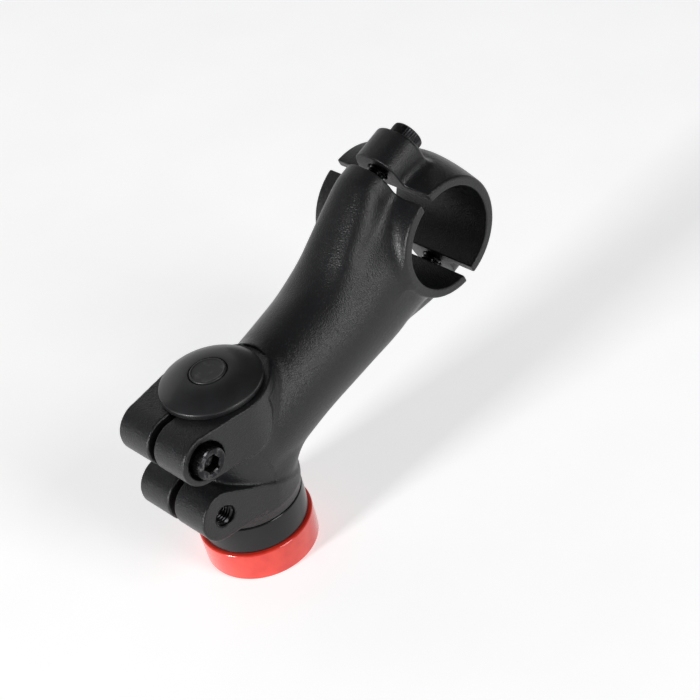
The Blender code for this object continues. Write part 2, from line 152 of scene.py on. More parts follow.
@dataclass(frozen=True)
class Skin:
    """Quads over the zero level of a distance field.

    Attributes:
        field: The distance field, in millimetres.
        low: Lowest corner of the space that holds the solid.
        high: Highest corner of that space.
        step: Spacing of the grid on which the field is sampled.
        refinements: How often each vertex is pulled on to the exact surface.
    """

    field: Field
    low: Grid
    high: Grid
    step: float
    refinements: int = 4

    def slope(self, points: Grid) -> Grid:
        """Gradient of the field at points, by central differences."""
        reach = 0.02
        parts = []
        for axis in range(3):
            shift = np.zeros(3)
            shift[axis] = reach
            ahead = self.field(*(points + shift).T)
            behind = self.field(*(points - shift).T)
            parts.append((ahead - behind) / (2.0 * reach))
        return np.stack(parts, axis=1)

    def mesh(self, name: str) -> bpy.types.Mesh:
        """Build the skin.

        One vertex lies in each grid cell that the surface passes through, at the mean of the
        crossings on the cell's edges. One quad joins the four cells round each crossed edge.
        Each vertex then moves by -f * gradient / |gradient|^2 until it lies on the surface.

        Args:
            name: Name of the mesh.

        Returns:
            The mesh, in metres, with normals taken from the field's gradient.
        """
        axes = [np.arange(a, b + self.step, self.step) for a, b in zip(self.low, self.high)]
        value = self.field(*np.meshgrid(*axes, indexing="ij"))
        inside = value < 0.0
        shape = np.array(value.shape)
        total = np.zeros((*(shape - 1), 3))
        count = np.zeros(shape - 1)
        crossings = []
        for axis in range(3):
            near = np.take(value, range(shape[axis] - 1), axis)
            far = np.take(value, range(1, shape[axis]), axis)
            crossed = (near < 0.0) != (far < 0.0)
            share = np.where(crossed, near / np.where(crossed, near - far, 1.0), 0.0)
            crossings.append((crossed, np.take(inside, range(shape[axis] - 1), axis)))
            others = [i for i in range(3) if i != axis]
            for corner in product((0, 1), repeat=2):
                window = [slice(None)] * 3
                for other, offset in zip(others, corner):
                    window[other] = slice(offset, shape[other] - 1 + offset)
                here = crossed[tuple(window)]
                count += here
                total[..., axis] += share[tuple(window)] * here
                for other, offset in zip(others, corner):
                    total[..., other] += offset * here
        active = count > 0
        cell = np.argwhere(active)
        place = cell + total[active] / count[active][:, None]
        points = np.asarray(self.low) + self.step * place
        for _ in range(self.refinements):
            slope = self.slope(points)
            gap = self.field(*points.T) / np.maximum((slope**2).sum(1), 0.05)
            points -= np.clip(gap, -self.step / 2, self.step / 2)[:, None] * slope
        number = np.full(active.shape, -1)
        number[active] = np.arange(len(cell))
        quads = []
        for axis, (crossed, started_inside) in enumerate(crossings):
            one, two = [(1, 2), (2, 0), (0, 1)][axis]
            window = [slice(None)] * 3
            window[one] = slice(1, -1)
            window[two] = slice(1, -1)
            at = np.argwhere(crossed[tuple(window)])
            at[:, one] += 1
            at[:, two] += 1
            ring = []
            for back_one, back_two in ((1, 1), (0, 1), (0, 0), (1, 0)):
                corner = at.copy()
                corner[:, one] -= back_one
                corner[:, two] -= back_two
                ring.append(number[tuple(corner.T)])
            ring = np.stack(ring, axis=1)
            outward = started_inside[tuple(at.T)]
            quads.append(np.where(outward[:, None], ring, ring[:, ::-1]))
        normals = self.slope(points)
        normals /= np.maximum(np.linalg.norm(normals, axis=1), 1e-9)[:, None]
        return build_mesh(name, points, np.concatenate(quads), normals=normals)


def show(name: str, data: bpy.types.ID) -> bpy.types.Object:
    """Put data into the scene as an object."""
    made = bpy.data.objects.new(name, data)
    bpy.context.scene.collection.objects.link(made)
    return made


def build_mesh(
    name: str, points: Grid, quads: Grid, triangles: Grid | None = None, normals: Grid | None = None
) -> bpy.types.Mesh:
    """Make a mesh from arrays.

    Args:
        name: Name of the mesh.
        points: Vertices in millimetres, one a row.
        quads: Vertex numbers of the four-sided faces.
        triangles: Vertex numbers of the three-sided faces.
        normals: A normal for each vertex, or None for sharp edges found by angle.

    Returns:
        The mesh in metres.
    """
    if triangles is None:
        triangles = np.zeros((0, 3), int)
    loops = np.concatenate([quads.ravel(), triangles.ravel()]).astype(np.int32)
    starts = np.concatenate(
        [np.arange(len(quads)) * 4, len(quads) * 4 + np.arange(len(triangles)) * 3]
    )
    mesh = bpy.data.meshes.new(name)
    mesh.vertices.add(len(points))
    mesh.vertices.foreach_set("co", (points * MM).astype(np.float32).ravel())
    mesh.loops.add(len(loops))
    mesh.loops.foreach_set("vertex_index", loops)
    mesh.polygons.add(len(starts))
    mesh.polygons.foreach_set("loop_start", starts.astype(np.int32))
    mesh.polygons.foreach_set("use_smooth", np.ones(len(starts), bool))
    mesh.update(calc_edges=True)
    mesh.validate()
    if normals is None:
        mesh.set_sharp_from_angle(angle=math.radians(38))
    else:
        mesh.normals_split_custom_set_from_vertices(normals.astype(np.float32))
    return mesh


# ---------------------------------------------------------------- surfaces round an axis


UP = np.array([0.0, 0.0, 1.0])


def angles(columns: int) -> Grid:
    """One row of angles, evenly spaced round a full turn."""
    return np.arange(columns)[None, :] * 2.0 * math.pi / columns


def thread_wave(height: Grid, angle: Grid, pitch: float) -> Grid:
    """Flat-topped wave from 0 to 1 that runs once for each turn and each pitch."""
    turn = np.mod(height / pitch - angle / (2 * math.pi), 1.0)
    return np.clip(np.abs(turn * 2 - 1) * 1.25 - 0.1, 0.0, 1.0)


@dataclass(frozen=True)
class Axis:
    """Where a turned piece stands.

    Attributes:
        origin: Point on the axis that the profile's height is counted from.
        up: Direction of growing height.
    """

    origin: Grid
    up: Grid

    def place(self, radius: Grid, angle: Grid, height: Grid) -> Grid:
        """Point at radius and angle round the axis, and at a height along it."""
        guide = UP if abs(self.up[2]) < 0.9 else np.array([1.0, 0.0, 0.0])
        across = np.cross(guide, self.up)
        across /= np.linalg.norm(across)
        beside = np.cross(self.up, across)
        radius, angle, height = (np.asarray(part, float)[..., None] for part in (radius, angle, height))
        turn = np.cos(angle) * across + np.sin(angle) * beside
        return self.origin + radius * turn + height * self.up


def rounded(points: list[tuple[float, float, float]], steps: int = 5, closed: bool = False) -> Grid:
    """Polyline whose corners are replaced by arcs.

    Each corner is a quadratic curve that starts and ends its own radius away along both sides.

    Args:
        points: Corners as (radius from the axis, height, size of the rounding).
        steps: Points on each arc.
        closed: Whether the last corner joins the first.

    Returns:
        Points of the profile as (radius, height) rows.
    """
    corners = np.array([corner[:2] for corner in points])
    made = []
    t = np.linspace(0.0, 1.0, steps)[:, None]
    for i, (x, y, size) in enumerate(points):
        here = np.array([x, y])
        ends = not closed and i in (0, len(points) - 1)
        if ends or size <= 0.0:
            made.append(here[None])
            continue
        before, after = corners[i - 1], corners[(i + 1) % len(points)]
        enter = here + (before - here) * min(size / np.linalg.norm(before - here), 0.5)
        leave = here + (after - here) * min(size / np.linalg.norm(after - here), 0.5)
        made.append((1 - t) ** 2 * enter + 2 * t * (1 - t) * here + t**2 * leave)
    return np.concatenate(made)


def turned_mesh(name: str, axis: Axis, radius: Grid, height: Grid, closed: bool) -> bpy.types.Mesh:
    """Carry a profile round an axis.

    The point (i, j) lies at radius[i, j], at height[i, j] and at the angle 2 pi j / columns.
    With the radius to the right and the height up, the solid is on the profile's left.

    Args:
        name: Name of the mesh.
        axis: Axis of the piece.
        radius: Radius for each row of the profile and each column of the turn.
        height: Height for the same rows and columns.
        closed: Whether the last row joins the first; otherwise both ends are poles.

    Returns:
        The closed mesh in metres.
    """
    rows, columns = radius.shape
    angle = np.broadcast_to(angles(columns), radius.shape)
    points = axis.place(radius, angle, height).reshape(-1, 3)
    row = np.arange(rows if closed else rows - 1)[:, None]
    column = np.arange(columns)[None, :]
    after_row = (row + 1) % rows
    after_column = (column + 1) % columns
    quads = np.stack(
        [
            row * columns + column,
            row * columns + after_column,
            after_row * columns + after_column,
            after_row * columns + column,
        ],
        axis=-1,
    ).reshape(-1, 4)
    triangles = None
    if not closed:
        ends = axis.place(np.zeros(2), np.zeros(2), np.array([height[0].mean(), height[-1].mean()]))
        points = np.concatenate([points, ends])
        ring = np.arange(columns)
        ahead = (ring + 1) % columns
        last = (rows - 1) * columns
        first_fan = np.stack([np.full(columns, rows * columns), ahead, ring], axis=1)
        last_fan = np.stack([np.full(columns, rows * columns + 1), last + ring, last + ahead], axis=1)
        triangles = np.concatenate([first_fan, last_fan])
    return build_mesh(name, points, quads, triangles)


def sleeve_mesh(name: str, axis: Axis, inside: Grid, outside: Grid, height: Grid) -> bpy.types.Mesh:
    """Carry a sleeve round an axis, from its radius inside and outside at each height."""
    radius = np.concatenate([inside, outside[::-1]])
    heights = np.repeat(np.concatenate([height, height[::-1]]), inside.shape[1], axis=1)
    return turned_mesh(name, axis, radius[::-1], heights[::-1], closed=True)


def ring_mesh(name: str, axis: Axis, profile: Grid, columns: int, closed: bool) -> bpy.types.Mesh:
    """Carry a plain profile of (radius, height) rows round an axis."""
    radius = np.repeat(profile[:, :1], columns, axis=1)
    height = np.repeat(profile[:, 1:], columns, axis=1)
    return turned_mesh(name, axis, radius, height, closed)


# ---------------------------------------------------------------- materials


class Value:
    """A socket of a shader net that arithmetic can be written with."""

    def __init__(self, net: Net, socket: bpy.types.NodeSocket) -> None:
        """Wrap a socket of a net."""
        self.net = net
        self.socket = socket

    def _math(self, operation: str, *values: Value | float) -> Value:
        """Add a Math node that works on the values."""
        return self.net.node("ShaderNodeMath", {"operation": operation}, dict(enumerate(values)))

    def __add__(self, other: Value | float) -> Value:
        """Sum."""
        return self._math("ADD", self, other)

    def __radd__(self, other: float) -> Value:
        """Sum with the number on the left."""
        return self._math("ADD", other, self)

    def __sub__(self, other: Value | float) -> Value:
        """Difference."""
        return self._math("SUBTRACT", self, other)

    def __rsub__(self, other: float) -> Value:
        """Difference with the number on the left."""
        return self._math("SUBTRACT", other, self)

    def __mul__(self, other: Value | float) -> Value:
        """Product."""
        return self._math("MULTIPLY", self, other)

    def ramp(self, low: float, high: float) -> Value:
        """0 below low, 1 above high and a smooth rise between."""
        settings = {"interpolation_type": "SMOOTHSTEP"}
        return self.net.node(
            "ShaderNodeMapRange", settings, {"Value": self, "From Min": low, "From Max": high}
        )


class Net:
    """Node net of one material."""

    def __init__(self, name: str) -> None:
        """Start an empty material whose coordinates are in millimetres."""
        self.material = bpy.data.materials.new(name)
        self.material.use_nodes = True
        self.tree = self.material.node_tree
        self.tree.nodes.clear()
        place = self.node("ShaderNodeTexCoord", {}, {}, "Object")
        scale = (1.0 / MM,) * 3
        self.millimetres = self.node("ShaderNodeMapping", {}, {"Vector": place, "Scale": scale})

    def node(self, kind: str, settings: dict, values: dict, output: str | int = 0) -> Value:
        """Add a node.

        Args:
            kind: Blender's type name of the node.
            settings: Properties that are set before the sockets.
            values: A number, a tuple or a Value for each socket, by its name or number.
            output: Name or number of the socket that is handed back.

        Returns:
            The chosen output.
        """
        made = self.tree.nodes.new(kind)
        for key, setting in settings.items():
            setattr(made, key, setting)
        for key, value in values.items():
            if isinstance(value, Value):
                self.tree.links.new(value.socket, made.inputs[key])
            else:
                made.inputs[key].default_value = value
        return Value(self, made.outputs[output])

    def noise(self, size: float, detail: float = 2.0, stretch: tuple = (1.0, 1.0, 1.0)) -> Value:
        """Noise whose blotches are about a size across, in millimetres."""
        place = self.node("ShaderNodeMapping", {}, {"Vector": self.millimetres, "Scale": stretch})
        values = {"Vector": place, "Scale": 1.0 / size, "Detail": detail, "Roughness": 0.55}
        return self.node("ShaderNodeTexNoise", {}, values)

    def cells(self, size: float) -> Value:
        """Distance to the middle of Voronoi cells of a size, in millimetres."""
        values = {"Vector": self.millimetres, "Scale": 1.0 / size}
        return self.node("ShaderNodeTexVoronoi", {}, values, "Distance")

    def mix(self, share: Value, first: tuple, second: tuple) -> Value:
        """Blend two colours by a share."""
        values = {"Factor": share, 6: (*first, 1.0), 7: (*second, 1.0)}
        return self.node("ShaderNodeMix", {"data_type": "RGBA"}, values, 2)

    def bump(self, height: Value, strength: float, depth: float) -> Value:
        """Normal for a height map whose full range is a depth in millimetres."""
        values = {"Height": height, "Strength": strength, "Distance": depth * MM}
        return self.node("ShaderNodeBump", {}, values)

    def finish(self, **sockets: Value | float | tuple) -> bpy.types.Material:
        """Close the net with a Principled shader whose sockets take the given values."""
        named = {key.replace("_", " ").title(): value for key, value in sockets.items()}
        if "Ior" in named:
            named["IOR"] = named.pop("Ior")
        shader = self.node("ShaderNodeBsdfPrincipled", {}, named, "BSDF")
        out = self.tree.nodes.new("ShaderNodeOutputMaterial")
        self.tree.links.new(shader.socket, out.inputs["Surface"])
        return self.material


@dataclass(frozen=True)
class PowderCoat:
    """Matte baked powder: orange-peel bumps, grains whose glints are partly painted into the colour as
    lighter specks, and a faint wipe of handling.
    """

    name: str
    colour: tuple = (0.0075, 0.0078, 0.0088)
    # Colour of the painted glints: lighter specks on the grain that stand in for its sparkle of light.
    grain: tuple = (0.07, 0.071, 0.076)
    roughness: float = 0.32

    def material(self) -> bpy.types.Material:
        """Build the coat."""
        net = Net(self.name)
        grains = net.noise(0.42)
        cells = net.cells(0.6)
        handled = net.noise(14.0, 4.0)
        # Painted glints: random grains are lightened in colour as small highlights, and also made less
        # rough.
        painted_glint = grains.ramp(0.56, 0.72) * (1.0 - cells.ramp(0.1, 0.42))
        height = grains + net.noise(0.9, 1.0) * 0.2
        rough = handled * 0.12 + (self.roughness - 0.06) - painted_glint * 0.16
        return net.finish(
            base_color=net.mix(painted_glint, self.colour, self.grain),
            roughness=rough,
            normal=net.bump(height, 0.9, 0.17),
            ior=1.46,
        )


@dataclass(frozen=True)
class Lacquer:
    """Dyed or painted shell with fine lathe rings under a clear, slightly uneven skin."""

    name: str
    colour: tuple
    deep: tuple
    roughness: float
    metallic: float = 0.0
    coat: float = 0.6
    ring: float = 0.12
    ior: float = 1.5

    def material(self) -> bpy.types.Material:
        """Build the lacquer."""
        net = Net(self.name)
        rings = net.noise(self.ring, 2.0, (0.02, 0.02, 1.0))
        clouds = net.noise(6.0, 3.0)
        specks = net.noise(0.35, 2.0).ramp(0.68, 0.8)
        rough = self.roughness + rings * 0.08 + clouds * 0.06 + specks * 0.1
        return net.finish(
            base_color=net.mix(clouds.ramp(0.3, 0.7), self.deep, self.colour),
            roughness=rough,
            metallic=self.metallic,
            ior=self.ior,
            coat_weight=self.coat,
            coat_roughness=0.06,
            normal=net.bump(rings * 0.5 + clouds * 0.5, 0.25, 0.02),
        )


@dataclass(frozen=True)
class Steel:
    """Bare, oxidised or plated steel: mottled tone, fine scratches and worn high spots."""

    name: str
    colour: tuple
    worn: tuple
    roughness: float

    def material(self) -> bpy.types.Material:
        """Build the steel."""
        net = Net(self.name)
        mottle = net.noise(1.8, 5.0)
        fine = net.noise(0.16, 3.0)
        scratch = net.noise(0.3, 2.0, (0.15, 1.0, 1.0)).ramp(0.62, 0.75)
        wear = (mottle * 0.7 + fine * 0.3).ramp(0.5, 0.72)
        return net.finish(
            base_color=net.mix(wear, self.colour, self.worn),
            roughness=self.roughness + fine * 0.16 - scratch * 0.08,
            metallic=0.92,
            normal=net.bump(fine * 0.6 + scratch * 0.4, 0.35, 0.02),
        )


@dataclass(frozen=True)
class Plastic:
    """Moulded plastic with a fine spark-eroded grain and rubbed edges."""

    name: str
    colour: tuple
    rubbed: tuple
    roughness: float = 0.4

    def material(self) -> bpy.types.Material:
        """Build the plastic."""
        net = Net(self.name)
        grain = net.noise(0.2, 3.0)
        rubbed = net.noise(2.4, 3.0).ramp(0.52, 0.75)
        return net.finish(
            base_color=net.mix(rubbed, self.colour, self.rubbed),
            roughness=self.roughness + grain * 0.12 - rubbed * 0.08,
            normal=net.bump(grain, 0.4, 0.03),
        )


@dataclass(frozen=True)
class Paper:
    """Pale matt ground that the stem stands on."""

    name: str = "pale_ground"
    colour: tuple = (0.9, 0.9, 0.9)
    shade: tuple = (0.86, 0.86, 0.865)
    glow: float = 0.52

    def material(self) -> bpy.types.Material:
        """Build the ground."""
        net = Net(self.name)
        fibres = net.noise(40.0, 3.0)
        tone = net.mix(fibres, self.shade, self.colour)
        return net.finish(
            base_color=tone,
            roughness=0.9 + fibres * 0.05,
            emission_color=tone,
            emission_strength=self.glow,
        )


class Slot(Enum):
    """Finishes, with the material slot of the record and how each is made."""

    SATIN_BLACK = PowderCoat("satin_black")
    ANODISED_BLACK = Lacquer(
        "anodised_black", (0.008, 0.0082, 0.009), (0.005, 0.005, 0.0055), 0.16, 0.0, 0.1, 0.12, 1.38
    )
    GLOSS_BLACK = Lacquer(
        "gloss_black", (0.012, 0.0125, 0.014), (0.008, 0.008, 0.009), 0.32, 0.0, 0.12, 0.5
    )
    GLOSS_RED = Lacquer("gloss_red", (0.76, 0.048, 0.026), (0.66, 0.03, 0.018), 0.16, 0.1, 0.7)
    PLUG_GREY = Plastic("plug_grey", (0.02, 0.0205, 0.022), (0.045, 0.046, 0.048))
    BLACK_OXIDE = Steel("black_oxide", (0.022, 0.022, 0.024), (0.2, 0.2, 0.205), 0.12)
    ZINC_STEEL = Steel("zinc_steel", (0.5, 0.5, 0.53), (0.72, 0.72, 0.74), 0.26)

    def build(self) -> bpy.types.Material:
        """Material of this finish, made once."""
        label = "look_" + self.value.name
        known = bpy.data.materials.get(label)
        if known is None:
            known = self.value.material()
            known.name = label
        return known


# ---------------------------------------------------------------- placing pieces


def add_piece(mesh: bpy.types.Mesh, slot: Slot, body: str, *nodes: str) -> None:
    """Show a mesh as a piece of the stem.

    Args:
        mesh: The finished mesh, in place.
        slot: Its finish.
        body: The frame's body that it moves with.
        nodes: The frame's nodes that it stands for, if any.
    """
    piece = show(mesh.name, mesh)
    piece.data.materials.append(slot.build())
    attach(piece, body)
    if nodes:
        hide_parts(*nodes)
    LOG.info("%s: %d faces on %s", piece.name, len(mesh.polygons), body)


@dataclass(frozen=True)
class Layout:
    """Places that every class works from, taken from the frame's joints and boxes.

    Attributes:
        bar: Middle of the handlebar's bore.
        forward: Direction of the faceplate's slide.
        rise: Direction across the bar clamp, at right angles to forward.
        bolt_offset: Distance of a faceplate bolt from the bar's axis.
        length: Distance from the steerer's axis to the bar's, along forward.
        pinch: Seat height and side of each pinch bolt, by name.
        pinch_y: Distance of the pinch bolts behind the steerer's axis.
        bottom: Height of the body's foot.
    """

    bar: Grid
    forward: Grid
    rise: Grid
    bolt_offset: float
    length: float
    pinch: dict[str, tuple[float, float]]
    pinch_y: float
    bottom: float

    @classmethod
    def from_frame(cls, frame: dict, hinge_point: float) -> Layout:
        """Read the layout.

        Args:
            hinge_point: Distance of the bolts' hinge points in front of the bar's axis.

        Returns:
            The layout in millimetres.
        """
        joints = {joint["name"]: joint for joint in frame["joints"]}
        forward = np.array(joints["faceplate_slide"]["axis"], float)
        forward /= np.linalg.norm(forward)
        upper = np.array(joints["faceplate_bolt_upper_turn"]["pos_m"]) / MM
        lower = np.array(joints["faceplate_bolt_lower_turn"]["pos_m"]) / MM
        span = upper - lower
        rise = span / np.linalg.norm(span)
        bar = (upper + lower) / 2 - hinge_point * forward
        pinch = {}
        for name in ("upper", "lower"):
            joint = joints[f"pinch_bolt_{name}_turn"]
            pinch[name] = (joint["pos_m"][2] / MM, float(joint["axis"][0]))
        return cls(
            bar=bar,
            forward=forward,
            rise=rise,
            bolt_offset=float(np.linalg.norm(span)) / 2,
            length=float(bar[1] / forward[1]),
            pinch=pinch,
            pinch_y=joints["pinch_bolt_upper_turn"]["pos_m"][1] / MM,
            bottom=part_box("stem_body")[0].z / MM,
        )

    def local(self, y: Grid, z: Grid) -> tuple[Grid, Grid]:
        """Distance forward of the bar's axis, and across it."""
        y, z = y - self.bar[1], z - self.bar[2]
        return y * self.forward[1] + z * self.forward[2], y * self.rise[1] + z * self.rise[2]


def node_box(*names: str) -> tuple[Grid, Grid]:
    """Box round nodes of the frame, in millimetres."""
    boxes = [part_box(name) for name in names]
    low = np.min([list(box[0]) for box in boxes], axis=0)
    high = np.max([list(box[1]) for box in boxes], axis=0)
    return low / MM, high / MM


def add_skin(distance: Field, step: float, name: str, body: str, node: str) -> None:
    """Show the skin of a distance field as a powder-coated piece that stands for a node."""
    margin = 2.0
    low, high = node_box(node)
    skin = Skin(distance, low - margin, high + margin, step)
    add_piece(skin.mesh(name), Slot.SATIN_BLACK, body, node)


@dataclass(frozen=True)
class BarClamp:
    """Measures that the body and the faceplate share round the handlebar.

    Attributes:
        bore: Radius of the handlebar's bore.
        outer: Radius of the round block.
        half_width: Half of its width.
        hinge_point: Distance of the record's bolt points in front of the bar's axis.
        seat: Distance of the bolt seats in front of the bar's axis.
        boss_top: Height of a bolt boss above the bar's axis.
        boss_height: Height of its rounded top.
        boss_half: Half of its width.
        squareness: Power of its rounded top.
        hole: Radius of the bolt holes.
        well: Radius of the counterbores.
    """

    bore: float = 15.95
    outer: float = 18.9
    half_width: float = 19.2
    hinge_point: float = 10.0
    seat: float = 9.5
    boss_top: float = 28.2
    boss_height: float = 8.2
    boss_half: float = 8.7
    squareness: float = 2.5
    hole: float = 3.35
    well: float = 5.95

    def boss(self, x: Grid, height: Grid, half: Grid | float) -> Grid:
        """Distance to a bolt boss.

        Its top is the upper half of (|x| / half)^n + (h / boss height)^n = 1, and its sides go
        straight down from there.
        """
        above = np.maximum(height - self.boss_top + self.boss_height, 0.0) / self.boss_height
        power = (np.abs(x) / half) ** self.squareness + above**self.squareness
        return np.maximum((power ** (1.0 / self.squareness) - 1.0) * 8.0, 8.0 - height)


@dataclass(frozen=True)
class StemBody:
    """The forged body: steerer clamp with two pinch lugs, extension, and half of the bar clamp."""

    layout: Layout
    clamp: BarClamp
    steerer_bore: float = 14.3
    band: float = 17.0
    neck: float = 16.2
    foot: float = 15.9
    foot_rise: float = 3.4
    slit: float = 2.6
    lug: float = 8.0
    lug_half: float = 14.4
    pinch_seat: float = 10.3
    face: float = -2.5
    hole_depth: float = 8.5
    edge: float = 0.55
    step: float = 0.56

    @property
    def top(self) -> float:
        """Height of the steerer clamp's top."""
        return self.layout.pinch["upper"][0] + self.lug

    def tube(self, x: Grid, forward: Grid, across: Grid) -> Grid:
        """Distance to the extension.

        Its section at a distance s from the steerer is the superellipse
        (|x| / a)^n + (|h| / b)^n = 1, whose half width a, half height b, drop and power n
        rise and fall with smooth steps along s.
        """
        s = forward + self.layout.length
        a = 16.3 + smooth_step(s, 20, 60)
        b = 16.8 + smooth_step(s, 25, 60)
        drop = 1.7 + smooth_step(s, 20, 45) - 2.2 * smooth_step(s, 50, 80)
        n = 2.0 + 0.6 * smooth_step(s, 40, 80)
        power = (np.abs(x) / a) ** n + (np.abs(across + drop) / b) ** n
        return np.maximum((power ** (1.0 / n) - 1.0) * a, -s)

    def plan(self, x: Grid, y: Grid) -> Grid:
        """Distance to the clamp's outline from above: a circle with tangent, flat-sided lugs."""
        reach = math.hypot(self.lug_half, self.layout.pinch_y)
        lean = math.atan2(self.layout.pinch_y, self.lug_half) - math.acos(self.band / reach)
        side = np.abs(x) * math.cos(lean) + y * math.sin(lean) - self.band
        behind = np.minimum(side, np.abs(x) - self.lug_half)
        return np.where(y > np.abs(x) * math.tan(lean), behind, np.hypot(x, y) - self.band)

    def upper_band(self, y: Grid, z: Grid) -> Grid:
        """Side view of the upper band: half round behind, a large soft corner in front."""
        middle = self.layout.pinch["upper"][0]
        back = y - self.layout.pinch_y - self.lug
        round_end = cut(back, np.abs(z - middle) - self.lug, self.lug)
        return np.maximum(round_end, cut(-7.0 - y, middle - self.lug - z, 9.9))

    def lower_band(self, y: Grid, z: Grid) -> Grid:
        """Side view of the lower band, which falls away forward from its half round lug."""
        y = y - self.layout.pinch_y
        z = z - self.layout.pinch["lower"][0]
        slope = math.radians(118)
        turn = np.arctan2(z, y)
        wedge = np.maximum(y * math.cos(slope) + z * math.sin(slope), -z) - self.lug
        return np.where((turn > -math.pi / 2) & (turn < slope), np.hypot(y, z) - self.lug, wedge)

    def collars(self, x: Grid, y: Grid, z: Grid) -> Grid:
        """Distance to everything that stands proud of the neck: ring, foot and both bands."""
        reach = np.hypot(x, y)
        ring = cut(reach - self.band, np.abs(z - self.top + 1.7) - 1.7, self.edge)
        rise = np.clip((z - self.layout.bottom) / self.foot_rise, 0.0, 1.0)
        foot = cut(reach - self.foot - (self.band - self.foot) * rise, z - 25.5, 0.8)
        plan = self.plan(x, y)
        upper = cut(plan, self.upper_band(y, z), self.edge)
        lower = cut(plan, self.lower_band(y, z), self.edge)
        return np.minimum(np.minimum(ring, foot), np.minimum(upper, lower))

    def block(self, x: Grid, forward: Grid, across: Grid) -> Grid:
        """Distance to the half round block behind the bar and its two ridged bosses.

        A boss keeps its height behind the bolt, then falls away and widens until it has sunk into
        the extension.
        """
        clamp = self.clamp
        ring = np.hypot(forward, across) - clamp.outer
        solid = cut(ring, np.abs(x) - clamp.half_width, 0.7)
        behind = np.maximum(-forward - 7.0, 0.0)
        reach = 3.6 + 6.0 * smooth_step(-forward, 3.0, 20.0)
        for side, slope in ((1, 0.5), (-1, 0.42)):
            fall = slope * behind**2 / (behind + 3.0)
            height = side * across
            boss = clamp.boss(x, height + fall, clamp.boss_half + 0.1 * np.minimum(behind, 20.0))
            solid = blend(solid, np.maximum(boss, 6.0 - height), reach)
        return solid

    def distance(self, x: Grid, y: Grid, z: Grid) -> Grid:
        """Distance to the finished body, in millimetres."""
        layout, clamp = self.layout, self.clamp
        forward, across = layout.local(y, z)
        reach = np.hypot(x, y)
        crown = smooth_step(np.abs(across), 5.0, 14.0)
        neck = cut(reach - self.neck, z - self.top + 1.0, 0.5)
        solid = blend(neck, self.tube(x, forward, across), 1.2 + 5.0 * crown)
        solid = blend(solid, self.collars(x, y, z), 1.5)
        solid = blend(solid, self.block(x, forward, across), 3.0)
        solid = cut(solid, forward - self.face, 0.45)
        solid = cut(solid, layout.bottom - z, 0.4)
        spot = np.maximum(reach - self.band - 0.5, self.top + 0.12 - z)
        solid = cut(solid, -spot, 0.3)
        solid = cut(solid, self.steerer_bore - reach, 0.45)
        solid = cut(solid, -np.maximum(np.abs(x) - self.slit / 2, -y), 0.4)
        for name in ("upper", "lower"):
            height, side = layout.pinch[name]
            ring = np.hypot(y - layout.pinch_y, z - height)
            well = np.maximum(ring - clamp.well, self.pinch_seat - side * x)
            solid = cut(solid, -well, 0.3)
            solid = cut(solid, np.where(y > 0, clamp.hole - ring, -99.0), 0.35)
        solid = cut(solid, clamp.bore - np.hypot(forward, across), 0.5)
        ring = np.hypot(x, np.abs(across) - layout.bolt_offset)
        hole = np.maximum(ring - clamp.hole, self.face - self.hole_depth - forward)
        return cut(solid, -hole, 0.3)

    def build(self) -> None:
        """Make the body."""
        add_skin(self.distance, self.step, "forged_body", "stem", "stem_body")


@dataclass(frozen=True)
class Faceplate:
    """The front half of the bar clamp, bowed forward, with scooped sides and two bolt bosses."""

    layout: Layout
    clamp: BarClamp
    face: float = 1.0
    bow: float = 3.2
    bow_power: float = 1.6
    lug_front: float = 12.5
    step: float = 0.42

    def distance(self, x: Grid, y: Grid, z: Grid) -> Grid:
        """Distance to the faceplate, in millimetres.

        The outside at a width x is a circle of the clamp's radius that is moved forward by
        bow * (1 - |x / half width|^power).
        """
        layout, clamp = self.layout, self.clamp
        forward, across = layout.local(y, z)
        share = np.minimum(np.abs(x) / clamp.half_width, 1.2)
        bow = self.bow * (1.0 - share**self.bow_power)
        solid = np.hypot(forward - bow, across) - clamp.outer
        solid = cut(solid, np.abs(x) - clamp.half_width, 0.8)
        height = np.abs(across)
        boss = cut(clamp.boss(x, height, clamp.boss_half), forward - self.lug_front, 1.2)
        solid = blend(solid, boss, 2.6)
        solid = cut(solid, self.face - forward, 0.45)
        ring = np.hypot(x, height - layout.bolt_offset)
        solid = cut(solid, clamp.hole - ring, 0.3)
        solid = cut(solid, -np.maximum(ring - clamp.well, clamp.seat - forward), 0.35)
        return cut(solid, clamp.bore - np.hypot(forward, across), 0.5)

    def build(self) -> None:
        """Make the faceplate."""
        add_skin(self.distance, self.step, "bar_faceplate", "faceplate_group", "faceplate")


